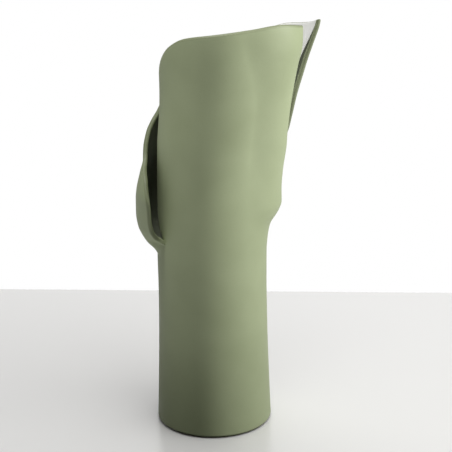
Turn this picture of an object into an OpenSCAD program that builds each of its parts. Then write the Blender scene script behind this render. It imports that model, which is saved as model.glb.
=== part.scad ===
// A tall stoneware vase in one fired body: a round trunk on a flat foot opens into two
// overlapping leaves. The front leaf wraps the left, the front and the right. The rear leaf
// wraps the back, swells into an ear on the left and rises to a tip on the right.
// Angles are measured from +X towards +Y, so the front of the vase is at 270 degrees.

/* [Overall] */
// Nominal height, mm; the tip of the rear leaf ends about 2 mm below it
height = 500; // [440:5:560]

/* [Trunk] */
// Outer radius at the foot, mm
foot_radius = 73.3; // [71:0.1:78]
// Outer radius where the trunk is slimmest, mm
waist_radius = 67.9; // [64:0.1:70]
// Height of the joint between the trunk and the leaves, mm
trunk_height = 205; // [200:1:210]
// Radius of the rounded lower edge, mm
edge_round = 3; // [1.5:0.1:4]

/* [Walls] */
// Thickness of the clay wall, mm
clay_wall = 4.7; // [4:0.1:5.5]
// Thickness of the white glaze lining, mm
lining_wall = 0.8; // [0.5:0.1:1]
// Thickness of the base slab, mm
base_thickness = 8; // [6:0.5:12]
// Height of the bare rim of the base slab, which shows below the trunk's rounded edge, mm
foot_gap = 1.2; // [0.6:0.1:2]

/* [Leaves] */
// How far the ear of the rear leaf stands proud of the trunk, mm
ear_reach = 26; // [16:0.5:28]
// How far the flap of the front leaf stands proud at the right, mm
flap_reach = 25; // [22:0.5:26]
// How far the rear leaf flares out to its tip, mm
tip_reach = 47.5; // [44:0.5:52]
// Number of columns in the net of each leaf
leaf_columns = 34; // [20:2:40]
// Number of rows in the net of each leaf
leaf_rows = 26; // [18:2:30]

/* [Hidden] */
$fn = 96;

sage = [0.58, 0.63, 0.49];
bare_clay = [0.78, 0.72, 0.62];
white_glaze = [0.94, 0.94, 0.92];

// Heights in the tables below are for a vase 500 mm tall and stretch with it.
stretch = height / 500;
joint = trunk_height;
plain_waist = 67.9;      // waist radius that the core radii below were drawn for
joint_flare = 0.1;       // how much wider than its waist the trunk is at the joint

// Core of the leaves: [height, radius] and [height, shift of the centre to the right].
core_radius = [[205, 68], [300, 68], [400, 71], [500, 76]];
core_shift = [[205, 0], [240, 0.5], [300, 2], [350, 4.5], [400, 10.5], [450, 14], [500, 16]];

// Front leaf: [height, share of flap_reach], then [height, angle] of the place where the
// flap starts to leave the core, of its free edge, of the place where the other side starts
// to turn in behind the ear, and of the inner edge there.
front_rise = [
    [205, 0], [222, 0], [235, 0.04], [244, 0.09], [255, 0.22], [267, 0.6], [274, 0.76],
    [279, 0.82], [290, 0.8], [300, 0.78], [330, 0.76], [350, 0.75], [371, 0.68], [400, 0.63],
    [430, 0.67], [450, 0.73], [468, 0.82], [482, 0.8], [500, 0.76],
];
front_start = [[205, 310], [400, 305], [500, 285]];
front_free = [[205, 380], [290, 380], [320, 374], [345, 362], [365, 354], [400, 352], [500, 352]];
tuck_start = [
    [205, 213], [238, 213], [250, 207], [262, 197], [280, 191], [300, 187], [320, 185], [500, 185],
];
front_inner = [[205, 213], [238, 213], [246, 190], [256, 168], [270, 155], [300, 148], [500, 146]];

// Rear leaf: the same for its ear, with the share of its reach that it gives up where it
// curls back, its free edge, its inner edge, then [height, share of tip_reach].
rear_rise = [
    [205, 0], [219, 0], [226, 0.14], [235, 0.48], [246, 0.74], [256, 0.9], [271, 0.99],
    [290, 1], [300, 0.97], [322, 0.79], [338, 0.65], [355, 0.69], [368, 0.71], [380, 0.61],
    [392, 0.42], [405, 0.3], [430, 0.19], [480, 0.08],
];
rear_start = [[205, 135], [360, 135], [400, 125], [480, 95]];
ear_curl = [[205, 1], [237, 1], [242, 0.6], [247, 0.3], [256, 0.15], [269, 0.1], [284, 0.06],
            [300, 0]];
rear_free = [[205, 213], [290, 214], [315, 206], [340, 184], [358, 176], [380, 167],
             [400, 158], [430, 145], [480, 128]];
rear_inner = [[205, 20], [252, 20], [275, 10], [300, 6], [330, 10], [350, 15], [380, 18],
              [440, 18], [500, 15]];
tip_rise = [
    [205, 0], [250, 0], [290, 0.08], [335, 0.25], [352, 0.46], [371, 0.59], [400, 0.64],
    [440, 0.79], [470, 0.91], [500, 1.03],
];

// Rims: [share of the way from the inner edge to the free edge, height].
front_rim = [
    [0, 420], [0.16, 437], [0.26, 460], [0.335, 473.5], [0.43, 483], [0.57, 487.5],
    [0.72, 492], [0.85, 496.3], [0.95, 494.5], [1, 493.5],
];
rear_rim = [
    [0, 497.5], [0.025, 496.5], [0.07, 493.8], [0.13, 492.5], [0.235, 491.2], [0.38, 482],
    [0.5, 475], [0.67, 470.5], [0.8, 466], [0.9, 458], [1, 446],
];

// The white lining of the rear leaf stops at [height, angle], so the ear is green inside.
lining_stop = [[205, 216], [209, 216], [222, 150], [245, 135], [500, 130]];

ear_turn = 48;        // degrees over which the ear leaves the core
curl_angle = 186;     // angle past which the ear curls back towards the front leaf
curl_turn = 27;       // degrees over which it curls
tip_turn = 92;        // degrees over which the rear leaf flares to its tip
tip_far_angle = 105;  // angle where that flare begins
tuck = 7;             // how far the front leaf's inner edge turns in, to clear the ear
tuck_turn = 21;       // degrees over which it turns in
left_slit = 238;      // height where the slit beside the ear begins
right_slit = 250;     // height where the slit beside the flap begins
slit_opening = 10;    // height over which a slit's edges become fully rounded
rim_round = 0.28;     // share of the wall that the rounding takes from each side of an edge
edge_share = 0.008;   // width of a rounded edge, as a share of the leaf
row_crowding = 0.62;  // rows are closer together low down, where the leaves part
step = 0.001;         // step for the slopes that give the direction of the wall

// Smooth curve through a table that never overshoots its points.
function span(t, x, i = 0) = (i >= len(t) - 2 || x < t[i + 1][0]) ? i : span(t, x, i + 1);
function slope(t, i) = (t[i + 1][1] - t[i][1]) / (t[i + 1][0] - t[i][0]);
function knot(t, i) = (i == 0 || i == len(t) - 1) ? 0 :
    let (a = slope(t, i - 1), b = slope(t, i)) a * b <= 0 ? 0 : 2 * a * b / (a + b);
function blend(t, i, s, h) =
    (2 * s ^ 3 - 3 * s ^ 2 + 1) * t[i][1] + (s ^ 3 - 2 * s ^ 2 + s) * h * knot(t, i)
    + (3 * s ^ 2 - 2 * s ^ 3) * t[i + 1][1] + (s ^ 3 - s ^ 2) * h * knot(t, i + 1);
function along(t, x) =
    x <= t[0][0] ? t[0][1] :
    x >= t[len(t) - 1][0] ? t[len(t) - 1][1] :
    let (i = span(t, x), h = t[i + 1][0] - t[i][0]) blend(t, i, (x - t[i][0]) / h, h);
function ease(x) = let (s = min(1, max(0, x))) s * s * (3 - 2 * s);

// Outer radius of each leaf about the core's centre, at an angle and a height.
function front_radius(a, z) =
    let (from = along(front_start, z), to = along(front_free, z))
    along(core_radius, z) + waist_radius - plain_waist
    + flap_reach * along(front_rise, z) * ease((a - from) / (to - from))
    - tuck * ease((along(tuck_start, z) - a) / tuck_turn);
function rear_radius(a, z) =
    along(core_radius, z) + waist_radius - plain_waist
    + ear_reach * along(rear_rise, z) * ease((a - along(rear_start, z)) / ear_turn)
      * (1 - along(ear_curl, z) * ease((a - curl_angle) / curl_turn))
    + tip_reach * along(tip_rise, z) * ease((tip_far_angle - a) / tip_turn);

// A leaf is "front" or "rear"; u runs from its inner edge to its free edge, v from the
// joint to the rim.
function mix(a, b, u) = a * (1 - u) + b * u;
function leaf_angle(leaf, u, z) = leaf == "front"
    ? mix(along(front_inner, z), along(front_free, z), u)
    : mix(along(rear_inner, z), along(rear_free, z), u);
function leaf_radius(leaf, a, z) = leaf == "front" ? front_radius(a, z) : rear_radius(a, z);
function rim_height(leaf, u) = along(leaf == "front" ? front_rim : rear_rim, u);
function level(leaf, u, v) =
    joint + (rim_height(leaf, u) - joint) * v * (row_crowding + (1 - row_crowding) * v);
function skin(leaf, u, v) =
    let (z = level(leaf, u, v), a = leaf_angle(leaf, u, z), r = leaf_radius(leaf, a, z))
    [along(core_shift, z) + r * cos(a), r * sin(a), z * stretch];
function unit(p) = p / norm(p);
function outward(leaf, u, v) =
    let (across = skin(leaf, u + step, v) - skin(leaf, u - step, v),
         up = v == 0 ? [0, 0, 1] : skin(leaf, u, v + step) - skin(leaf, u, v - step))
    unit(cross(across, up));

// The net of a leaf: its columns and rows, with a narrow strip along each rounded edge.
function net_columns() =
    concat([0], [for (i = [0 : leaf_columns]) edge_share + (1 - 2 * edge_share) * i / leaf_columns],
           [1]);
function net_rows() = concat([for (j = [0 : leaf_rows]) (1 - edge_share) * j / leaf_rows], [1]);
last_column = leaf_columns + 2;
last_row = leaf_rows + 1;

// Rounding is full on the rim and on the open edges, and absent along the closed seams.
function slit_height(leaf, i) = (leaf == "front") == (i == 0) ? left_slit : right_slit;
function rounding(leaf, i, j, z) =
    j == last_row ? rim_round :
    i == 0 || i == last_column ? rim_round * ease((z - slit_height(leaf, i)) / slit_opening) : 0;

// One surface of the wall: side 0 is the outside, 1 the inside of the clay, 2 the lining.
function wall_point(leaf, i, j, side) =
    let (u = net_columns()[i], v = net_rows()[j], round_off = rounding(leaf, i, j, level(leaf, u, v)),
         depth = side == 0 ? clay_wall * round_off : clay_wall * (1 - round_off))
    skin(leaf, u, v) - outward(leaf, u, v) * (depth + (side == 2 ? lining_wall : 0));
function wall_net(leaf, side) =
    [for (j = [0 : last_row]) for (i = [0 : last_column]) wall_point(leaf, i, j, side)];

// True for the cells of the net that a piece covers.
function covered(leaf, lined, i, j) =
    i >= 0 && i < last_column && j >= 0 && j < last_row
    && (!lined || leaf == "front" || inside_lining(i, j));
function inside_lining(i, j) =
    let (u = net_columns()[i + 1], z = level("rear", u, net_rows()[j + 1]))
    leaf_angle("rear", u, z) < along(lining_stop, z);

function spot(i, j) = j * (last_column + 1) + i;
layer = (last_column + 1) * (last_row + 1);
function side_wall(p, q) = [[q + layer, p + layer, p], [q + layer, p, q]];

// Two triangles outside, two inside, and a wall wherever the next cell isn't covered.
function cell_faces(leaf, lined, i, j) =
    let (a = spot(i, j), b = spot(i + 1, j), c = spot(i + 1, j + 1), d = spot(i, j + 1), n = layer)
    concat([[a, c, b], [a, d, c], [a + n, b + n, c + n], [a + n, c + n, d + n]],
           covered(leaf, lined, i, j - 1) ? [] : side_wall(a, b),
           covered(leaf, lined, i + 1, j) ? [] : side_wall(b, c),
           covered(leaf, lined, i, j + 1) ? [] : side_wall(c, d),
           covered(leaf, lined, i - 1, j) ? [] : side_wall(d, a));

module shell_piece(leaf, lined) {
    outside = wall_net(leaf, lined ? 1 : 0);
    inside = wall_net(leaf, lined ? 2 : 1);
    faces = [for (j = [0 : last_row - 1]) for (i = [0 : last_column - 1])
             if (covered(leaf, lined, i, j)) each cell_faces(leaf, lined, i, j)];
    polyhedron(points = concat(outside, inside), faces = faces, convexity = 10);
}

// Trunk: its outer radius falls off quickly above the foot and is even higher up.
straight_from = 185;     // height above which the trunk has its waist radius
taper_power = 1.6;
trunk_steps = 12;
joint_radius = waist_radius + joint_flare;
function trunk_radius(z) = z >= straight_from
    ? mix(waist_radius, joint_radius, (z - straight_from) / (joint - straight_from))
    : waist_radius + (foot_radius - waist_radius) * (1 - z / straight_from) ^ taper_power;
function trunk_levels(from) = [for (k = [0 : trunk_steps]) mix(from, joint, k / trunk_steps)];
function trunk_line(from, depth) =
    [for (z = trunk_levels(from)) [trunk_radius(z) - depth, z * stretch]];
function backwards(list) = [for (k = [len(list) - 1 : -1 : 0]) list[k]];

base_top = base_thickness + foot_gap;
well_radius = trunk_radius(base_top) - clay_wall;   // inside of the wall, on the base slab
foot_edge = foot_radius - edge_round;               // where the rounded lower edge starts
bare_rim = 0.3;                                     // how far the bare rim stays inside that
bare_chamfer = 0.6;
edge_steps = 6;

module base_slab() {
    rim = foot_edge - bare_rim;
    color(bare_clay) rotate_extrude() polygon([
        [0, 0], [rim - bare_chamfer, 0], [rim, bare_chamfer], [rim, foot_gap],
        [well_radius, foot_gap], [well_radius, base_top], [0, base_top]]);
}

module trunk() {
    bottom_arc = [for (k = [0 : edge_steps]) let (turn = 90 * k / edge_steps)
        [foot_edge + edge_round * sin(turn), foot_gap + edge_round * (1 - cos(turn))]];
    color(sage) rotate_extrude() polygon(concat(
        [[well_radius, foot_gap]], bottom_arc, trunk_line(edge_round + base_top, 0),
        backwards(trunk_line(base_top / stretch, clay_wall))));
}

module floor_lining() {
    color(white_glaze) translate([0, 0, base_top])
        cylinder(r = well_radius - lining_wall, h = lining_wall);
}

module trunk_lining() {
    color(white_glaze) rotate_extrude() polygon(concat(
        trunk_line(base_top / stretch, clay_wall),
        backwards(trunk_line(base_top / stretch, clay_wall + lining_wall))));
}

module front_leaf() { color(sage) shell_piece("front", false); }
module rear_leaf() { color(sage * 0.94) shell_piece("rear", false); }
module front_leaf_lining() { color(white_glaze) shell_piece("front", true); }
module rear_leaf_lining() { color(white_glaze) shell_piece("rear", true); }

base_slab();
trunk();
front_leaf();
rear_leaf();
floor_lining();
trunk_lining();
front_leaf_lining();
rear_leaf_lining();
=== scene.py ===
# %% [markdown]
# # A tall stoneware vase of two overlapping leaves
#
# The vase is a round trunk with two curved clay slabs, the leaves, standing on it. Each leaf
# wraps round one side, and its free edge lifts away from the other leaf, so that from above
# the vase looks like a pinwheel. Outside it wears a sage green matt glaze, inside a white
# gloss glaze, and only the underside is bare clay.
#
# The CAD model is the frame: sizes such as the joint's height and the wall's thickness are
# read from it below. The pieces made here stand in its place.

import math

import bmesh
import bpy
import numpy as np
from mathutils import Matrix, Vector


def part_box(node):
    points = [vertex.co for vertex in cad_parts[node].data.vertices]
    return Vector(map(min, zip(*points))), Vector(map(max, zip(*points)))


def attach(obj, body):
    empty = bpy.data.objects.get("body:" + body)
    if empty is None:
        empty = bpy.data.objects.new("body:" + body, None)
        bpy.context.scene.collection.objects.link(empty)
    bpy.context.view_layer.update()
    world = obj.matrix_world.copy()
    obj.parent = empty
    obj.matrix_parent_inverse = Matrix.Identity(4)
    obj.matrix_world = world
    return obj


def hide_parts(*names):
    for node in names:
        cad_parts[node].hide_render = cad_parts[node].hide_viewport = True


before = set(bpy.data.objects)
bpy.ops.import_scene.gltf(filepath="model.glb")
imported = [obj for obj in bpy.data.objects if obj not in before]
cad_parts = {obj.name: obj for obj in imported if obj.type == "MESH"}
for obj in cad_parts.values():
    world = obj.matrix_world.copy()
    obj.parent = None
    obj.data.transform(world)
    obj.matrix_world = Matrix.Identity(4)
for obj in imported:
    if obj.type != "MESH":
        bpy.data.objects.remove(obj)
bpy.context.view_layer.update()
scene = bpy.context.scene
scene.view_settings.view_transform = "Standard"

# %% [markdown]
# ## Sizes from the frame
#
# A potter thinks of this vase in a few sizes: where the leaves are joined on, how far the
# trunk flares at the foot, and how thick the slabs are rolled. A node's box gives most of
# them. The slab's thickness is the difference between the two circles at the trunk's top,
# so that one is measured on the node's own points.

# %% Sizes
MM = 0.001


def circles_at(name, height):
    """The smallest and largest radius of a CAD node's points at one height."""
    points = np.array([v.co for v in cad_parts[name].data.vertices])
    ring = points[np.abs(points[:, 2] - height) < 0.01 * MM]
    radii = np.hypot(ring[:, 0], ring[:, 1])
    return radii.min(), radii.max()


joint_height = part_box("front_leaf")[0].z
foot_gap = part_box("trunk")[0].z
foot_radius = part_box("trunk")[1].x
floor_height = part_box("floor_lining")[0].z
glaze_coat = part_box("floor_lining")[1].z - floor_height
well_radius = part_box("floor_lining")[1].x + glaze_coat
bore_radius, joint_radius = circles_at("trunk", joint_height)
clay_wall = joint_radius - bore_radius
full_wall = clay_wall + glaze_coat
print(f"joint at {joint_height:.4f}, foot radius {foot_radius:.4f}")
print(f"clay wall {clay_wall:.4f}, glaze coat {glaze_coat:.4f}")

# %% [markdown]
# ## Smooth curves through a few points
#
# The leaves change slowly as they rise: the mouth grows, the free edges swing out, the rim
# climbs. Each change is a list of points with a smooth curve through them. The points are not
# drawn freely: most started from what a fitting program printed, read off at other heights,
# and some were then changed by hand. A plain spline would swing past them and make ripples in
# the clay. This curve takes the harmonic mean of the slopes on either side of a point, so it
# never overshoots.

# %% Curves
def along(table, place):
    """The smooth curve through a table of (place, value) points, read at one or many places."""
    places, values = np.array(table, float).T
    slopes = np.diff(values) / np.diff(places)
    before, after = slopes[:-1], slopes[1:]
    turning = before * after <= 0
    total = np.where(turning, 1, before + after)
    knots = np.concatenate([[0], np.where(turning, 0, 2 * before * after / total), [0]])
    place = np.clip(place, places[0], places[-1])
    i = np.clip(np.searchsorted(places, place, "right") - 1, 0, len(places) - 2)
    gap = places[i + 1] - places[i]
    s = (place - places[i]) / gap
    start = (1 + 2 * s) * (1 - s) ** 2 * values[i] + s * (1 - s) ** 2 * gap * knots[i]
    return start + s**2 * (3 - 2 * s) * values[i + 1] - s**2 * (1 - s) * gap * knots[i + 1]


def ease(x):
    """Rises from 0 to 1 with a level start and end."""
    x = np.clip(x, 0, 1)
    return x * x * (3 - 2 * x)


def mix(a, b, share):
    return a * (1 - share) + b * share


# %% [markdown]
# ## The rules of the leaves
#
# Both leaves wrap the same core, a tube that widens upwards and leans to one side. A leaf's
# radius is the core's, plus whatever its free edge or its tip adds. Heights and radii are in
# millimetres, as a potter would note them, and angles in degrees, anticlockwise from the
# right-hand side, seen from above.
#
# The front leaf lifts off at the right as a broad flap and tucks in under the ear at the
# left. The rear leaf opens at the left as an ear with two lobes, and at the right it runs
# up to a tall tip. How far an edge stands out is a share of its reach at each height.

# %% Rules
core_radius = [[205, 68], [300, 68], [400, 71], [500, 76]]
core_shift = [[205, 0], [240, 0.5], [300, 2], [350, 4.5], [400, 10.5], [450, 14], [500, 16]]

flap_reach, tuck_in, tuck_turn = 25, 7, 21
flap_share = [
    [205, 0], [222, 0], [235, 0.04], [244, 0.09], [255, 0.22], [267, 0.6], [274, 0.76],
    [279, 0.82], [290, 0.8], [300, 0.78], [330, 0.76], [350, 0.75], [371, 0.68], [400, 0.63],
    [430, 0.67], [450, 0.73], [468, 0.82], [482, 0.8], [500, 0.76],
]
flap_start = [[205, 310], [400, 305], [500, 285]]
flap_edge = [[205, 380], [290, 380], [320, 374], [345, 362], [365, 354], [400, 352], [500, 352]]
tuck_start = [
    [205, 213], [238, 213], [250, 207], [262, 197], [280, 191], [300, 187], [320, 185], [500, 185],
]
tucked_edge = [[205, 213], [238, 213], [246, 190], [256, 168], [270, 155], [300, 148], [500, 146]]

ear_reach, ear_turn = 26, 48
ear_share = [
    [205, 0], [219, 0], [226, 0.14], [235, 0.48], [246, 0.74], [256, 0.9], [271, 0.99],
    [290, 1], [300, 0.97], [322, 0.79], [338, 0.65], [355, 0.69], [368, 0.71], [380, 0.61],
    [392, 0.42], [405, 0.3], [430, 0.19], [480, 0.08],
]
ear_curl = [
    [205, 1], [237, 1], [242, 0.6], [247, 0.3], [256, 0.15], [269, 0.1], [284, 0.06], [300, 0],
]
curl_angle, curl_turn = 186, 27
ear_start = [[205, 135], [360, 135], [400, 125], [480, 95]]
ear_edge = [
    [205, 213], [290, 214], [315, 206], [340, 184], [358, 176],
    [380, 167], [400, 158], [430, 145], [480, 128],
]

tip_reach, tip_turn, tip_far_angle = 47.5, 92, 105
tip_share = [
    [205, 0], [250, 0], [290, 0.08], [335, 0.25], [352, 0.46], [371, 0.59], [400, 0.64],
    [440, 0.79], [470, 0.91], [500, 1.03],
]
tip_edge = [
    [205, 20], [252, 20], [275, 10], [300, 6], [330, 10],
    [350, 15], [380, 18], [440, 18], [500, 15],
]

front_rim = [
    [0, 420], [0.16, 437], [0.26, 460], [0.335, 473.5], [0.43, 483], [0.57, 487.5],
    [0.72, 492], [0.85, 496.3], [0.95, 494.5], [1, 493.5],
]
rear_rim = [
    [0, 497.5], [0.025, 496.5], [0.07, 493.8], [0.13, 492.5], [0.235, 491.2], [0.38, 482],
    [0.5, 475], [0.67, 470.5], [0.8, 466], [0.9, 458], [1, 446],
]
left_slit, right_slit, slit_opening = 238, 250, 10
print("rim between", front_rim[0][1], "and", rear_rim[0][1], "mm")

# %% [markdown]
# ## From a rule to a surface
#
# Every point of a leaf has two addresses: how far round it is, u, from the edge where the
# leaf starts to the edge where it ends, and how far up, v, from the joint to the rim. The
# rules turn that pair into a place in space. The wall's direction there is found the way a
# potter's fingers find it, by feeling a little to each side and a little up and down.

# %% Surfaces
lower_rows = 0.62
feel = 0.001


def front_radius(angle, z):
    start, edge = along(flap_start, z), along(flap_edge, z)
    flap = flap_reach * along(flap_share, z) * ease((angle - start) / (edge - start))
    tuck = tuck_in * ease((along(tuck_start, z) - angle) / tuck_turn)
    return along(core_radius, z) + flap - tuck


def rear_radius(angle, z):
    ear = ear_reach * along(ear_share, z) * ease((angle - along(ear_start, z)) / ear_turn)
    ear *= 1 - along(ear_curl, z) * ease((angle - curl_angle) / curl_turn)
    tip = tip_reach * along(tip_share, z) * ease((tip_far_angle - angle) / tip_turn)
    return along(core_radius, z) + ear + tip


LEAVES = {
    "front": dict(first=tucked_edge, last=flap_edge, rim=front_rim, radius=front_radius,
                  slits=(left_slit, right_slit)),
    "rear": dict(first=tip_edge, last=ear_edge, rim=rear_rim, radius=rear_radius,
                 slits=(right_slit, left_slit)),
}


def level(leaf, u, v):
    """Height in millimetres; rows lie closer together low down, where the leaves part."""
    low = joint_height / MM
    return low + (along(leaf["rim"], u) - low) * v * (lower_rows + (1 - lower_rows) * v)


def skin(leaf, u, v):
    """Points on the outside of a leaf, in metres."""
    z = level(leaf, u, v)
    angle = mix(along(leaf["first"], z), along(leaf["last"], z), u)
    radius = leaf["radius"](angle, z)
    turn = np.radians(angle)
    x = along(core_shift, z) + radius * np.cos(turn)
    return np.stack([x, radius * np.sin(turn), z], axis=-1) * MM


def slopes(leaf, u, v):
    """How fast the skin moves when u grows, and when v grows."""
    across = skin(leaf, u + feel, v) - skin(leaf, u - feel, v)
    upward = skin(leaf, u, np.maximum(v, feel) + feel) - skin(leaf, u, np.maximum(v, feel) - feel)
    upward = np.where((v <= feel)[..., None], [0, 0, 1], upward)
    return across / (2 * feel), upward / (2 * feel)


def outward(leaf, u, v):
    across, upward = slopes(leaf, u, v)
    normal = np.cross(across, upward)
    return normal / np.linalg.norm(normal, axis=-1, keepdims=True)


middle = skin(LEAVES["front"], np.array([0.5]), np.array([0.5]))[0]
print("middle of the front leaf:", np.round(middle, 4))

# %% [markdown]
# ## Rounded edges
#
# A leather-hard slab is cut with a knife and its edges are then rounded with a damp sponge,
# so the rim ends in a half circle as wide as the wall. Here the wall swells out from its
# middle like that half circle, over the last few millimetres before an edge. Where the two
# leaves are still one closed wall, below the slits, nothing is rounded and the edges meet.
#
# The grid has to be fine where the edge turns and may be coarse elsewhere, so a few rows and
# columns are set at real distances from the edge and the rest are spread evenly.

# %% Edges
half_wall = full_wall / 2
turn_steps = 9
least_strip = 0.5 * MM


def edge_distances(start):
    """Distances from an edge, in metres, close together where the edge turns fastest."""
    strip = np.maximum(half_wall - start, least_strip)
    return start + strip * (1 - np.cos(np.linspace(0, math.pi / 2, turn_steps)))


def swelling(distance, rounded):
    """Half the wall's thickness at a distance from an edge; rounded is 0 for a closed seam."""
    part = np.clip(1 - distance / half_wall, 0, 1)
    return half_wall * (1 - rounded + rounded * np.sqrt(1 - part**2))


def openness(leaf, side, z):
    """0 along a closed seam and 1 where the edge stands free."""
    return ease((z - leaf["slits"][side]) / slit_opening)


print("edge rows at, mm:", np.round(edge_distances(0) / MM, 2))

# %% [markdown]
# ## A grid over a leaf
#
# A leaf's grid has even columns in the middle and a strip of close ones along each side, and
# the same for its rows under the rim. A glaze lining uses the same grid but keeps a little
# away from the open edges, and further, by a wrap, where the outer glaze comes round the
# first side. It may also end at a glaze line instead of at the leaf's last side.

# %% Grid
no_wrap = [[205, 0], [500, 0]]


def leaf_grid(leaf, columns, rows, border=0.0, wrap=no_wrap, glaze_line=None):
    """Addresses u and v, the distances to both sides and the rim, and to the glaze line."""
    height = np.linspace(0, 1, rows + turn_steps)
    ends, paces = [], []
    for side in (0, 1):
        u = np.full(height.shape, float(side))
        z = level(leaf, u, height)
        paces.append(np.linalg.norm(slopes(leaf, u, height)[0], axis=-1)[:, None])
        opened = openness(leaf, side, z)[:, None]
        start = border if side else border + along(wrap, z)[:, None] * MM
        ends.append(mix(edge_distances(0), edge_distances(start), opened))
    left = ends[0] / paces[0]
    last = 1 - ends[1][:, :1] / paces[1]
    line = np.ones_like(last)
    if glaze_line is not None:
        z = level(leaf, last[:, 0], height)
        first, final = along(leaf["first"], z), along(leaf["last"], z)
        line = ((along(glaze_line, z) - first) / (final - first))[:, None]
        last = np.minimum(last, line)
    right = (last - (ends[1] - ends[1][:, :1]) / paces[1])[:, ::-1]
    share = np.linspace(0, 1, columns + 2)[1:-1]
    u = np.hstack([left, mix(left[:, -1:], right[:, :1], share), right])

    rim_pace = np.linalg.norm(slopes(leaf, u[-1], np.ones(u.shape[1]) - 2 * feel)[1], axis=-1)
    strip = 1 - edge_distances(border)[::-1, None] / rim_pace
    v = np.vstack([np.linspace(0, 1, rows + 1)[:-1, None] * strip[0], strip])
    distances = u * paces[0], (1 - u) * paces[1], (1 - v) * rim_pace
    return u, v, distances, (line - u) * paces[1]


def wall_swelling(leaf, u, v, distances):
    """Half the wall's thickness over a grid, and how near each point is to an open edge."""
    z = level(leaf, u, v)
    rounded = [openness(leaf, 0, z), openness(leaf, 1, z), np.ones_like(z)]
    half = np.min([swelling(d, r) for d, r in zip(distances, rounded)], axis=0)
    nearness = [r * (1 - np.clip(d / full_wall, 0, 1)) for d, r in zip(distances, rounded)]
    return half, np.max(nearness, axis=0)


# %% [markdown]
# ## From two grids to a closed piece
#
# A wall is two grids, its outside and its inside, stitched together along all four borders.
# Where the wall is rounded the two borders fall on the same points and are welded. Every
# piece is a closed solid with its faces outward, so it can be rendered, cut or printed.

# %% Closed pieces
sharp_angle = math.radians(38)
weld_distance = 0.001 * MM


def new_piece(name, mesh):
    piece = bpy.data.objects.new(name, mesh)
    scene.collection.objects.link(piece)
    return piece


def closed_mesh(name, outside, inside, near=None, deep=None):
    """A closed mesh from two grids, with values for darker edges and for painted shade inside."""
    rows, columns = outside.shape[:2]
    number = np.arange(rows * columns).reshape(rows, columns)
    quads = np.stack([number[:-1, :-1], number[:-1, 1:], number[1:, 1:], number[1:, :-1]], -1)
    quads = quads.reshape(-1, 4)
    border = np.concatenate([number[0, :-1], number[:-1, -1], number[-1, :0:-1], number[:0:-1, 0]])
    ahead = np.roll(border, -1)
    other = rows * columns
    stitches = np.stack([border, border + other, ahead + other, ahead], -1)
    faces = np.vstack([quads, quads[:, ::-1] + other, stitches])
    points = np.vstack([outside.reshape(-1, 3), inside.reshape(-1, 3)])
    mesh = bpy.data.meshes.new(name)
    mesh.from_pydata(points.tolist(), [], faces.tolist())
    # Edge value: glaze break plus painted shade. Inner value: painted shade.
    if near is not None:
        edge_darkening = mesh.attributes.new("edge_break_and_shade", "FLOAT", "POINT")
        edge_darkening.data.foreach_set("value", np.tile(near.ravel(), 2))
        shaded = mesh.attributes.new("inner_shade", "FLOAT", "POINT")
        shaded.data.foreach_set("value", np.concatenate([0 * deep.ravel(), deep.ravel()]))
    return weld(mesh)


def weld(mesh):
    """Joins points that fall together and turns every face outward."""
    work = bmesh.new()
    work.from_mesh(mesh)
    bmesh.ops.remove_doubles(work, verts=work.verts, dist=weld_distance)
    bmesh.ops.recalc_face_normals(work, faces=work.faces)
    work.to_mesh(mesh)
    work.free()
    return mesh


# %% [markdown]
# ## Turned pieces
#
# The trunk, the base and the glaze inside the trunk are round, like anything thrown or
# formed on a wheel. A profile is drawn once and carried round the axis.

# %% Turning
turns = 192


def turned_mesh(name, profile):
    """Carries a closed profile of (radius, height) points round the axis."""
    angle = np.linspace(0, 2 * math.pi, turns, endpoint=False)
    radius, height = np.array(profile).T
    x, y = np.outer(np.cos(angle), radius), np.outer(np.sin(angle), radius)
    points = np.stack([x, y, np.tile(height, (turns, 1))], -1).reshape(-1, 3)
    count = len(radius)
    a = np.arange(turns * count).reshape(turns, count)
    b = np.roll(a, -1, 0)
    faces = np.stack([a, b, np.roll(b, -1, 1), np.roll(a, -1, 1)], -1).reshape(-1, 4)
    mesh = bpy.data.meshes.new(name)
    mesh.from_pydata(points.tolist(), [], faces.tolist())
    return weld(mesh)


def arc(centre, radius, start, end, steps=8):
    """Points on an arc of a profile, angles in degrees."""
    turn = np.radians(np.linspace(start, end, steps + 1))
    return [(centre[0] + radius * math.cos(t), centre[1] + radius * math.sin(t)) for t in turn]


# %% [markdown]
# ## Node trees
#
# Both the Geometry Nodes and the materials below are built by one helper. It adds a node,
# sets it up, and links any input that is given as another node's output.

# %% Node helper
def add(tree, kind, inputs=None, **settings):
    """Adds a node; an input is a plain value, or another node's output to link from."""
    made = tree.nodes.new(kind)
    for name, value in settings.items():
        setattr(made, name, value)
    for name, value in (inputs or {}).items():
        if isinstance(value, bpy.types.NodeSocket):
            tree.links.new(value, made.inputs[name])
        else:
            made.inputs[name].default_value = value
    return made


def calculate(tree, operation, a, b=0.0):
    return add(tree, "ShaderNodeMath", {0: a, 1: b}, operation=operation).outputs[0]


def new_shape_tree(name, sizes):
    """An empty Geometry Nodes tree with a geometry input and one named input for each size."""
    tree = bpy.data.node_groups.new(name, "GeometryNodeTree")
    tree.interface.new_socket("Geometry", in_out="INPUT", socket_type="NodeSocketGeometry")
    tree.interface.new_socket("Geometry", in_out="OUTPUT", socket_type="NodeSocketGeometry")
    for size in sizes:
        kind = "NodeSocketMaterial" if size == "Material" else "NodeSocketFloat"
        tree.interface.new_socket(size, in_out="INPUT", socket_type=kind)
    return tree


def end_tree(tree, geometry, entry):
    """The end every tree shares: real geometry, and the material on it."""
    real = add(tree, "GeometryNodeRealizeInstances", {"Geometry": geometry})
    painted = add(tree, "GeometryNodeSetMaterial",
                  {"Geometry": real.outputs[0], "Material": entry.outputs["Material"]})
    add(tree, "NodeGroupOutput", {"Geometry": painted.outputs[0]})


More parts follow.
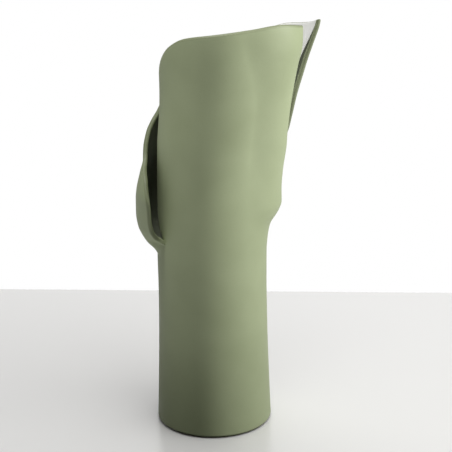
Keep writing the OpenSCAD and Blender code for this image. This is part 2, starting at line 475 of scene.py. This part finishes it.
def shaped(piece, tree, values):
    """Runs a tree on a piece and keeps the result as its plain mesh."""
    modifier = piece.modifiers.new(tree.name, "NODES")
    modifier.node_group = tree
    for socket in tree.interface.items_tree:
        if socket.item_type == "SOCKET" and socket.name in values:
            modifier[socket.identifier] = values[socket.name]
    piece.update_tag()
    depsgraph = bpy.context.evaluated_depsgraph_get()
    result = bpy.data.meshes.new_from_object(piece.evaluated_get(depsgraph))
    piece.modifiers.remove(modifier)
    piece.data = result
    result.name = piece.name
    return piece


# %% [markdown]
# ## Slightly uneven walls
#
# Slabs pressed by hand over a form are never quite true. The walls wander by a fraction of a
# millimetre over the width of a palm, which is what makes the light on a matt glaze swim.
# The tree below moves every point towards the axis by a smooth noise of its place in space.
# Pieces that touch are moved alike, so no seam opens, and nothing moves outwards.

# %% Uneven walls
def uneven_walls():
    tree = new_shape_tree("uneven_walls", ["Amount", "Size", "Material"])
    entry = add(tree, "NodeGroupInput")
    place = add(tree, "GeometryNodeInputPosition").outputs[0]
    scale = calculate(tree, "DIVIDE", 1.0, entry.outputs["Size"])
    noise = add(tree, "ShaderNodeTexNoise", {"Vector": place, "Scale": scale, "Detail": 1.0})
    flat = add(tree, "ShaderNodeVectorMath", {0: place, 1: (1, 1, 0)}, operation="MULTIPLY")
    inward = add(tree, "ShaderNodeVectorMath", {0: flat.outputs[0]}, operation="NORMALIZE")
    depth = calculate(tree, "MULTIPLY", noise.outputs[0], entry.outputs["Amount"])
    depth = calculate(tree, "MULTIPLY", depth, -1.0)
    move = add(tree, "ShaderNodeVectorMath",
               {0: inward.outputs[0], "Scale": depth}, operation="SCALE")
    moved = add(tree, "GeometryNodeSetPosition",
                {"Geometry": entry.outputs["Geometry"], "Offset": move.outputs[0]})
    end_tree(tree, moved.outputs[0], entry)
    return tree


UNEVEN = {"Amount": 0.6 * MM, "Size": 90 * MM}
uneven_tree = uneven_walls()
print("walls wander by up to, mm:", UNEVEN["Amount"] / MM)

# %% [markdown]
# ## Colours
#
# Glaze colours are written as sRGB hex, as they'd be read off a test tile, and turned into
# the linear values that light is reckoned in.

# %% Colour helper
def colour(hex_code):
    """Linear colour from an sRGB hex code."""
    parts = [int(hex_code[i:i + 2], 16) / 255 for i in (0, 2, 4)]
    linear = [p / 12.92 if p <= 0.04045 else ((p + 0.055) / 1.055) ** 2.4 for p in parts]
    return (*linear, 1.0)


def new_material(name, **even_values):
    """A material with a Principled shader; values that are the same all over are set on it."""
    material = bpy.data.materials.new(name)
    material.use_nodes = True
    tree = material.node_tree
    tree.nodes.clear()
    shader = add(tree, "ShaderNodeBsdfPrincipled")
    for socket, value in even_values.items():
        shader.inputs[socket.replace("_", " ")].default_value = value
    add(tree, "ShaderNodeOutputMaterial", {"Surface": shader.outputs[0]})
    return material, tree, shader


def noise_at(tree, size, detail=2.0, roughness=0.5):
    """Noise over the object's own coordinates, with features of about this size in metres."""
    place = add(tree, "ShaderNodeTexCoord").outputs["Object"]
    inputs = {"Vector": place, "Scale": 1 / size, "Detail": detail, "Roughness": roughness}
    return add(tree, "ShaderNodeTexNoise", inputs).outputs[0]


def remap(tree, value, low, high, to_low, to_high):
    inputs = {0: value, 1: low, 2: high, 3: to_low, 4: to_high}
    return add(tree, "ShaderNodeMapRange", inputs).outputs[0]


def blend_colours(tree, share, a, b, blend_type="MIX"):
    inputs = {0: share, 6: a, 7: b}
    made = add(tree, "ShaderNodeMix", inputs, data_type="RGBA", blend_type=blend_type)
    return made.outputs[2]


def relief(tree, height, depth):
    """Bump of a real depth in metres, from a height between 0 and 1."""
    inputs = {"Height": height, "Distance": depth, "Strength": 1.0}
    return add(tree, "ShaderNodeBump", inputs).outputs[0]


# %% [markdown]
# ## Sage matt glaze
#
# The outside is sprayed with a magnesium matt glaze coloured with a little copper and rutile,
# and fired to stoneware heat. It crystallises as it cools, so it has no gloss, only a soft
# sheen that follows the light. Its tone clouds over a hand's width where the spray lay
# thicker, and a fine grain of crystals speckles it. A rounded edge is painted darker: in part
# a glaze break, where molten glaze runs lean, and in part painted shade on the edge. Clouds and
# grain come from the object's own coordinates, and the edges from a value stored on the mesh.
#
# Inside a leaf the tone is blended to a dark green, by a second stored value. That is painted
# shade, put in to make up for a difference: plain sage comes out too bright in the narrow
# pocket inside the ear, which lies in deep shade. Whether the real glaze is darker there or
# only in deep shade isn't known.

# %% Sage matt glaze
def sage_matt_glaze():
    material, tree, shader = new_material("sage_matt_glaze_sprayed")
    cloud = noise_at(tree, 62 * MM, 2.0)
    grain = noise_at(tree, 0.9 * MM, 3.0, 0.6)
    clouds = remap(tree, cloud, 0.35, 0.65, 0, 1)
    clouded = blend_colours(tree, clouds, colour("9EA882"), colour("A5AF89"))
    speckled = blend_colours(tree, remap(tree, grain, 0.56, 0.7, 0, 0.3), clouded, colour("8E9472"))
    # Rounded edges painted darker: in part glaze break, in part painted shade.
    edge_darkening = add(tree, "ShaderNodeAttribute", attribute_name="edge_break_and_shade").outputs["Fac"]
    broken_and_shaded = blend_colours(tree, remap(tree, edge_darkening, 0.35, 0.85, 0, 0.8), speckled, colour("6C7255"))
    # Painted shade: dark green deep inside a leaf, for the pocket inside the ear.
    inner = add(tree, "ShaderNodeAttribute", attribute_name="inner_shade").outputs["Fac"]
    shaded = blend_colours(tree, remap(tree, inner, 0, 1, 0, 0.9), broken_and_shaded, colour("33382A"))
    tree.links.new(shaded, shader.inputs["Base Color"])
    tree.links.new(remap(tree, cloud, 0.3, 0.7, 0.5, 0.6), shader.inputs["Roughness"])
    orange_peel = noise_at(tree, 5 * MM, 2.0)
    height = calculate(tree, "ADD", calculate(tree, "MULTIPLY", orange_peel, 0.7),
                       calculate(tree, "MULTIPLY", grain, 0.3))
    tree.links.new(relief(tree, height, 0.05 * MM), shader.inputs["Normal"])
    return material


# %% [markdown]
# ## White gloss glaze
#
# The inside is poured: the vase is filled, swirled and emptied, which leaves an even white
# gloss coat that makes it watertight. It gathers a little, is broken by a few pinholes, and
# its surface is gently wavy under a sharp shine.

# %% White gloss glaze
def white_gloss_glaze():
    material, tree, shader = new_material(
        "white_gloss_glaze_poured", Coat_Weight=0.6, Coat_Roughness=0.06)
    pool = noise_at(tree, 40 * MM, 2.0)
    thickness = remap(tree, pool, 0.35, 0.65, 0, 1)
    tone = blend_colours(tree, thickness, colour("F4F4F0"), colour("EEEEE8"))
    specks = noise_at(tree, 1.6 * MM, 1.0)
    tone = blend_colours(tree, remap(tree, specks, 0.76, 0.8, 0, 0.5), tone, colour("B9B4A4"))
    tree.links.new(tone, shader.inputs["Base Color"])
    tree.links.new(remap(tree, pool, 0.3, 0.7, 0.12, 0.22), shader.inputs["Roughness"])
    wave = noise_at(tree, 14 * MM, 1.0)
    tree.links.new(relief(tree, wave, 0.15 * MM), shader.inputs["Normal"])
    return material


# %% [markdown]
# ## Bare stoneware
#
# Glaze would fuse the foot to the kiln shelf, so the underside is wiped clean. Fired bare,
# the clay is a dry, warm buff, rough with grog and spotted with iron.

# %% Bare stoneware
def bare_stoneware():
    material, tree, shader = new_material("buff_stoneware_sponged_bare")
    body = noise_at(tree, 25 * MM, 3.0)
    warmth = remap(tree, body, 0.35, 0.65, 0, 1)
    tone = blend_colours(tree, warmth, colour("C9B597"), colour("BCA687"))
    grog = noise_at(tree, 1.1 * MM, 2.0, 0.6)
    tone = blend_colours(tree, remap(tree, grog, 0.6, 0.68, 0, 0.6), tone, colour("DDCFB6"))
    iron = noise_at(tree, 2.3 * MM, 1.0)
    tone = blend_colours(tree, remap(tree, iron, 0.72, 0.76, 0, 0.9), tone, colour("6E4E34"))
    tree.links.new(tone, shader.inputs["Base Color"])
    tree.links.new(remap(tree, grog, 0.3, 0.7, 0.85, 0.95), shader.inputs["Roughness"])
    tree.links.new(relief(tree, grog, 0.12 * MM), shader.inputs["Normal"])
    return material


sage, white, bare = sage_matt_glaze(), white_gloss_glaze(), bare_stoneware()
print("materials:", sage.name, white.name, bare.name)

# %% [markdown]
# ## Finishing a piece
#
# Every piece goes the same way at the end: its walls are made a little uneven, it is shaded
# smooth except at real corners, and it takes the place of its CAD node on the vase's body.

# %% Finish a piece
def finish(piece, node_name, material):
    shaped(piece, uneven_tree, {**UNEVEN, "Material": material})
    mesh = piece.data
    mesh.polygons.foreach_set("use_smooth", [True] * len(mesh.polygons))
    mesh.set_sharp_from_angle(angle=sharp_angle)
    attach(piece, "root")
    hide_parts(node_name)
    print(f"{piece.name}: {sum(len(p.vertices) - 2 for p in mesh.polygons)} triangles")


# %% [markdown]
# ## The base
#
# The vase stands on a flat disc of clay, cut a little smaller than the trunk and wiped bare.
# Its lower rim is softened so it doesn't chip, and a narrow shadow line shows below the
# glazed wall. The disc's two heights and radii are the CAD node's own.

# %% Base
rim_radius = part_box("base_slab")[1].x
rim_softness = 0.6 * MM
base_profile = [
    (0, 0), *arc((rim_radius - rim_softness, rim_softness), rim_softness, -90, 0),
    (rim_radius, foot_gap), (well_radius, foot_gap), (well_radius, floor_height), (0, floor_height),
]
base = new_piece("base_disc", turned_mesh("base_disc", base_profile))
finish(base, "base_slab", bare)

# %% [markdown]
# ## The trunk
#
# The trunk is a tube that flares towards the foot. It could be turned from a drawn profile,
# but its shape is a rule: the radius falls off as a power of the height and then stays even.
# So Geometry Nodes make it. A flat grid is rolled up, its columns going round the axis and
# its rows going up the outside and back down the inside, and the seams are merged.

# %% Trunk
trunk_rows, crowding = 110, 2.0
waist_step, lower_edge = 0.1 * MM, 3 * MM
straight_from, taper = 185 * MM, 1.6
TRUNK_SIZES = {
    "Foot radius": foot_radius,
    "Waist radius": joint_radius - waist_step,
    "Joint radius": joint_radius,
    "Joint height": joint_height,
    "Straight from": straight_from,
    "Taper": taper,
    "Foot gap": foot_gap,
    "Edge round": lower_edge,
    "Wall": clay_wall,
    "Base height": floor_height,
}


def rolled_trunk(rows):
    """The trunk's tree; rows is the number of steps up the wall."""
    tree = new_shape_tree("rolled_trunk", [*TRUNK_SIZES, "Material"])
    entry = add(tree, "NodeGroupInput")
    size = entry.outputs
    steps = 2 * rows + 2
    grid = add(tree, "GeometryNodeMeshGrid",
               {"Size X": 1.0, "Size Y": 1.0, "Vertices X": turns + 1, "Vertices Y": steps + 1})
    position = add(tree, "GeometryNodeInputPosition").outputs[0]
    place = add(tree, "ShaderNodeSeparateXYZ", {0: position})
    angle = calculate(tree, "MULTIPLY", place.outputs[0], 2 * math.pi)
    row = calculate(tree, "ROUND", calculate(tree, "MULTIPLY", place.outputs[1], float(steps)))
    row = calculate(tree, "MODULO", calculate(tree, "ADD", row, steps / 2), float(steps))
    inside = calculate(tree, "GREATER_THAN", row, rows + 0.5)
    down = calculate(tree, "SUBTRACT", 2 * rows + 1.0, row)
    up = calculate(tree, "DIVIDE", calculate(tree, "MINIMUM", row, down), float(rows))
    tall = calculate(tree, "SUBTRACT", size["Joint height"], size["Foot gap"])
    risen = calculate(tree, "MULTIPLY", tall, calculate(tree, "POWER", up, crowding))
    z = calculate(tree, "ADD", size["Foot gap"], risen)

    # The inside is straight below the base's top, so it takes its radius from there.
    z_inside = calculate(tree, "MAXIMUM", z, size["Base height"])
    z_rule = add(tree, "ShaderNodeMix", {0: inside, 2: z, 3: z_inside}).outputs[0]
    reach = calculate(tree, "DIVIDE", z_rule, size["Straight from"])
    below = calculate(tree, "SUBTRACT", 1.0, reach)
    falloff = calculate(tree, "POWER", calculate(tree, "MAXIMUM", below, 0.0), size["Taper"])
    foot_extra = calculate(tree, "SUBTRACT", size["Foot radius"], size["Waist radius"])
    flare = calculate(tree, "MULTIPLY", foot_extra, falloff)
    above = remap(tree, z_rule, size["Straight from"], size["Joint height"], 0.0, 1.0)
    joint_extra = calculate(tree, "SUBTRACT", size["Joint radius"], size["Waist radius"])
    opening = calculate(tree, "MULTIPLY", joint_extra, above)
    flared = calculate(tree, "ADD", size["Waist radius"], flare)
    rule = calculate(tree, "ADD", flared, opening)

    # The lower edge is a quarter circle, taken off the outside only.
    above_foot = calculate(tree, "SUBTRACT", z, size["Foot gap"])
    over = calculate(tree, "DIVIDE", above_foot, size["Edge round"])
    left = calculate(tree, "SUBTRACT", 1.0, calculate(tree, "MINIMUM", over, 1.0))
    square = calculate(tree, "MULTIPLY", left, left)
    bow = calculate(tree, "SQRT", calculate(tree, "SUBTRACT", 1.0, square))
    cut = calculate(tree, "MULTIPLY", calculate(tree, "SUBTRACT", 1.0, bow), size["Edge round"])
    take = add(tree, "ShaderNodeMix", {0: inside, 2: cut, 3: size["Wall"]}).outputs[0]
    radius = calculate(tree, "SUBTRACT", rule, take)
    x = calculate(tree, "MULTIPLY", radius, calculate(tree, "COSINE", angle))
    y = calculate(tree, "MULTIPLY", radius, calculate(tree, "SINE", angle))
    rolled = add(tree, "ShaderNodeCombineXYZ", {0: x, 1: y, 2: z})
    wall = add(tree, "GeometryNodeSetPosition",
               {"Geometry": grid.outputs[0], "Position": rolled.outputs[0]})
    merged = add(tree, "GeometryNodeMergeByDistance",
                 {"Geometry": wall.outputs[0], "Distance": weld_distance})
    end_tree(tree, merged.outputs[0], entry)
    return tree


trunk = new_piece("trunk_wall", bpy.data.meshes.new("trunk_wall"))
shaped(trunk, rolled_trunk(trunk_rows), {**TRUNK_SIZES, "Material": sage})
weld(trunk.data)
finish(trunk, "trunk", sage)

# %% [markdown]
# ## The leaves
#
# The leaves are what makes the vase. Each is a slab, cut to outline, bent over a form while
# soft and joined to the trunk with slip; the joints are smoothed away, and only the open
# edges still show that there are two slabs. Sculpting them freehand could follow any shape,
# but rules keep the walls one thickness and let both leaves meet exactly at the seams.
#
# Round the rear leaf's right edge the sage is carried a little way inside, as edge_wrap says
# in millimetres at each height. That is for the look alone: the CAD lining isn't cut back so.
# The line where the lining ends by the ear, glaze_line in degrees at each height, is a guess.

# %% Leaf walls
WALL_COLUMNS, WALL_ROWS = 150, 150
unlined_fade, wrap_fade = 5 * MM, 1.5 * MM
# Painted shade inside a leaf begins this far from the edges and fades in over this width.
painted_shade_start, painted_shade_fade = 1.5 * MM, 4 * MM
edge_wrap = [[205, 12], [425, 12], [470, 4], [500, 3.5]]
glaze_line = [[205, 216], [209, 216], [222, 150], [245, 135], [500, 130]]


def leaf_wall(name, which, wrap=no_wrap, stop=None):
    """A leaf's clay wall; its outer glaze fills the lining's place where there is no lining."""
    leaf = LEAVES[which]
    u, v, distances, _ = leaf_grid(leaf, WALL_COLUMNS, WALL_ROWS)
    half, near = wall_swelling(leaf, u, v, distances)
    limit = np.full(u.shape, clay_wall)
    if stop is not None:
        z = level(leaf, u, v)
        angle = mix(along(leaf["first"], z), along(leaf["last"], z), u)
        past = (angle - along(stop, z)) * np.pi / 180 * joint_radius
        limit += glaze_coat * ease(past / unlined_fade) * openness(leaf, 1, z)
        wrapped = along(wrap, z) * MM - distances[0]
        limit += glaze_coat * ease(wrapped / wrap_fade) * openness(leaf, 0, z)
    points, normals = skin(leaf, u, v), outward(leaf, u, v)
    outside = points - normals * (half_wall - half)[..., None]
    inside = points - normals * np.minimum(half_wall + half, limit)[..., None]
    # Painted shade on the inside, growing with the distance from every edge.
    deep = ease((np.min(distances, axis=0) - painted_shade_start) / painted_shade_fade)
    return new_piece(name, closed_mesh(name, outside, inside, near, deep))


front_leaf = leaf_wall("front_leaf_wall", "front")
finish(front_leaf, "front_leaf", sage)
rear_leaf = leaf_wall("rear_leaf_wall", "rear", edge_wrap, glaze_line)
finish(rear_leaf, "rear_leaf", sage)

# %% [markdown]
# ## The white linings of the leaves
#
# The white coat covers the inside and ends on the rounded rim, where the two glazes meet. In
# the rear leaf it stops at a line: the ear stands outside the chamber that is filled and
# poured, so its inner side is taken to be sage, darkened by painted shade as said above. The
# coat is made a little deeper into the clay than it looks, so the two never part.

# %% Leaf linings
LINING_COLUMNS, LINING_ROWS = 110, 120
glaze_start = half_wall * (1 - math.sqrt(1 - (clay_wall / half_wall - 1) ** 2))
sunk = 0.15 * MM
line_fade = 2.5 * MM


def leaf_lining(name, which, wrap=no_wrap, stop=None):
    leaf = LEAVES[which]
    grid = leaf_grid(leaf, LINING_COLUMNS, LINING_ROWS, glaze_start, wrap, stop)
    u, v, distances, to_line = grid
    half, _ = wall_swelling(leaf, u, v, distances)
    coat = np.maximum(half_wall + half - clay_wall, 0)
    if stop is not None:
        coat = coat * np.where(to_line < distances[1] - glaze_start, ease(to_line / line_fade), 1)
        z = level(leaf, u, v)
        shut = 1 - openness(leaf, 0, z)
        wrapped = distances[0] - along(wrap, z) * MM
        coat = coat * np.maximum(shut, ease(wrapped / line_fade))
    points, normals = skin(leaf, u, v), outward(leaf, u, v)
    outside = points - normals * (clay_wall - sunk)
    inside = points - normals * (clay_wall + coat)[..., None]
    return new_piece(name, closed_mesh(name, outside, inside))


front_lining = leaf_lining("front_leaf_glaze", "front")
finish(front_lining, "front_leaf_lining", white)
rear_lining = leaf_lining("rear_leaf_glaze", "rear", edge_wrap, glaze_line)
finish(rear_lining, "rear_leaf_lining", white)

# %% [markdown]
# ## The glaze inside the trunk
#
# The poured glaze runs down the trunk's inside and gathers on the floor, where it fills the
# corner with a small fillet. The wall's coat follows the trunk's own rule, which is written
# out once more below in plain Python, because a profile needs it outside the node tree.

# %% Trunk and floor linings
fillet = 4 * MM
lining_levels = 60
floor_top = floor_height + glaze_coat


def trunk_radius(z):
    sizes = TRUNK_SIZES
    below = np.maximum(1 - z / sizes["Straight from"], 0)
    flare = (sizes["Foot radius"] - sizes["Waist radius"]) * below ** sizes["Taper"]
    above = np.clip((z - sizes["Straight from"]) / (joint_height - sizes["Straight from"]), 0, 1)
    return sizes["Waist radius"] + flare + (joint_radius - sizes["Waist radius"]) * above


heights = np.linspace(floor_height, joint_height, lining_levels)
clay_side = [(trunk_radius(z) - clay_wall + sunk, z) for z in heights]
glaze_side = [(trunk_radius(z) - full_wall, z) for z in heights[::-1]]
coat = new_piece("trunk_glaze", turned_mesh("trunk_glaze", clay_side + glaze_side))
finish(coat, "trunk_lining", white)

pool_radius = trunk_radius(floor_top + fillet) - full_wall
floor_profile = [
    (0, floor_height), (well_radius - sunk, floor_height), (well_radius - sunk, floor_top + fillet),
    *arc((pool_radius - fillet, floor_top + fillet), fillet, 0, -90), (0, floor_top),
]
pool = new_piece("floor_glaze", turned_mesh("floor_glaze", floor_profile))
finish(pool, "floor_lining", white)

# %% [markdown]
# ## Table
#
# The vase stands on a pale, satin table top whose far edge lies half a metre behind it. A
# satin surface shows a faint dark reflection under the foot, which ties the vase to it. It is
# hidden from diffuse rays, so it throws no soft light back on the vase: the room's glow from
# below does that instead, where its strength can be set on its own.

# %% Table
table_side, table_front, table_thickness = 3.0, -3.0, 0.02
table_edge = [(-table_side, 0.731), (table_side, 0.255)]
table_cloud = 0.4


def make_table():
    corners = [(-table_side, table_front), (table_side, table_front), *table_edge[::-1]]
    points = [(x, y, z) for z in (0, -table_thickness) for x, y in corners]
    faces = [(0, 1, 2, 3), (7, 6, 5, 4), (0, 4, 5, 1), (1, 5, 6, 2), (2, 6, 7, 3), (3, 7, 4, 0)]
    mesh = bpy.data.meshes.new("table")
    mesh.from_pydata(points, [], faces)
    table = new_piece("table", mesh)
    material, tree, shader = new_material("pale_satin_table")
    cloud = noise_at(tree, table_cloud, 2.0)
    tone = blend_colours(tree, cloud, colour("EEEDEB"), colour("F1F0EE"))
    tree.links.new(tone, shader.inputs["Base Color"])
    tree.links.new(remap(tree, cloud, 0.3, 0.7, 0.2, 0.26), shader.inputs["Roughness"])
    mesh.materials.append(material)
    table.visible_diffuse = False
    return table


table = make_table()
print("table's far edge, metres:", table_edge)

# %% [markdown]
# ## Light
#
# A soft key lamp stands at the right and a smaller one above. The world adds a glow from
# below, for the light a table sends back, and faint ones from behind and from the left. The
# camera sees it as plain white.
#
# The table has lamps of its own, by light linking: a wide one behind and a soft one above. So
# vase and table can each be given the wanted brightness, at the price that they no longer
# share one light. A dark disc that only diffuse rays meet stands for the vase's own shade.
# None of this is how a real room is lit.
#
# The vase's strengths come from a least-squares fit of renders with one light on at a time to
# a list of wanted brightnesses, and were then rounded and adjusted. The table's two lamps
# were set by trial after a similar fit.

# %% Light
def make_world():
    world = bpy.data.worlds.new("white_wall_behind")
    scene.world = world
    world.use_nodes = True
    tree = world.node_tree
    tree.nodes.clear()
    direction = add(tree, "ShaderNodeTexCoord").outputs["Generated"]
    parts = add(tree, "ShaderNodeSeparateXYZ", {0: direction}).outputs
    strength = ROOM_GLOW
    for axis, dim, full, glow in GLOWS:
        strength = calculate(tree, "ADD", remap(tree, parts[axis], dim, full, 0.0, glow), strength)
    seen = add(tree, "ShaderNodeLightPath").outputs["Is Camera Ray"]
    strength = calculate(tree, "MAXIMUM", strength, seen)
    background = add(tree, "ShaderNodeBackground", {"Color": (1, 1, 1, 1), "Strength": strength})
    add(tree, "ShaderNodeOutputWorld", {"Surface": background.outputs[0]})


def make_shade():
    """A dark disc just under the table's top that only diffuse rays meet."""
    mesh = bpy.data.meshes.new("shade")
    angle = np.linspace(0, 2 * math.pi, CORNERS, endpoint=False)
    points = [(SHADE_RADIUS * math.cos(a), SHADE_RADIUS * math.sin(a), -MM) for a in angle]
    mesh.from_pydata(points, [], [tuple(range(CORNERS))])
    shade = new_piece("shade", mesh)
    dark = (0.02, 0.02, 0.02, 1)
    mesh.materials.append(new_material("dark_shade", Base_Color=dark, Roughness=1.0)[0])
    shade.visible_camera = shade.visible_glossy = shade.visible_shadow = False


def soft_lamp(name, place, target, size, power):
    """A rectangular lamp that faces its target; size is in metres and power in watts."""
    light = bpy.data.lights.new(name, "AREA")
    light.shape, (light.size, light.size_y), light.energy = "RECTANGLE", size, power
    lamp = bpy.data.objects.new(name, light)
    turn = (Vector(target) - Vector(place)).to_track_quat("-Z", "Y").to_matrix().to_4x4()
    lamp.matrix_world = Matrix.Translation(place) @ turn
    scene.collection.objects.link(lamp)
    return lamp


def link_table(lamp, state):
    """INCLUDE: the lamp lights the table alone. EXCLUDE: it lights everything else."""
    links = bpy.data.collections.new(lamp.name + "_links")
    links.objects.link(table)
    links.collection_objects[0].light_linking.link_state = state
    lamp.light_linking.receiver_collection = links


CORNERS = 48
ROOM_GLOW = 0.01
GLOWS = [("Y", 0.3, 0.9, 0.05), ("Z", 0, -0.4, 0.85), ("X", -0.2, -0.9, 0.11)]
SHADE_RADIUS = 0.28
LAMPS = [
    # name, place, target, size, power, and INCLUDE for the table alone or EXCLUDE for the rest
    ("key_lamp", (1.16, -0.26, 0.85), (0, 0, 0.34), (0.4, 0.8), 19, "EXCLUDE"),
    ("top_lamp", (-0.15, -0.25, 1.5), (0, 0, 0.45), (0.4, 0.4), 13, "EXCLUDE"),
    ("wall_light", (0, 1.6, 1.2), (0, 0, 1.2), (6, 2.4), 64, "INCLUDE"),
    ("table_lamp", (0.5, -0.4, 1.3), (0, 0, 0), (1.4, 1.4), 15, "INCLUDE"),
]
make_world()
make_shade()
for *lamp_settings, table_link in LAMPS:
    link_table(soft_lamp(*lamp_settings), table_link)
print("lamps:", [settings[0] for settings in LAMPS])

# %% [markdown]
# ## Camera
#
# The vase is seen from a little above and almost straight on, through a longish lens that
# keeps its sides from leaning together. The camera is turned by its heading, its pitch and
# a slight roll.
#
# These numbers are one row of a least-squares fit to the vase's outline, used unchanged.
# Other eye heights and distances fit about as well, so the camera isn't pinned down.

# %% Camera
camera_place = Vector((0, -1.166, 0.561))
heading, pitch, roll = (math.radians(a) for a in (0.87, 14.9, -0.70))
lens_length, sensor_width = 77.9, 36
ahead = Vector((math.sin(heading), math.cos(heading), 0)) * math.cos(pitch)
forward = ahead + Vector((0, 0, -math.sin(pitch)))
level_right = Vector((math.cos(heading), -math.sin(heading), 0))
level_up = level_right.cross(forward)
right = level_right * math.cos(roll) + level_up * math.sin(roll)
upright = level_up * math.cos(roll) - level_right * math.sin(roll)
lens = bpy.data.cameras.new("camera")
lens.lens, lens.sensor_width = lens_length, sensor_width
camera = bpy.data.objects.new("camera", lens)
turned = Matrix((right, upright, -forward)).transposed().to_4x4()
camera.matrix_world = Matrix.Translation(camera_place) @ turned
scene.collection.objects.link(camera)
scene.camera = camera
print("camera at", tuple(camera_place), "with a lens of", lens_length, "mm")
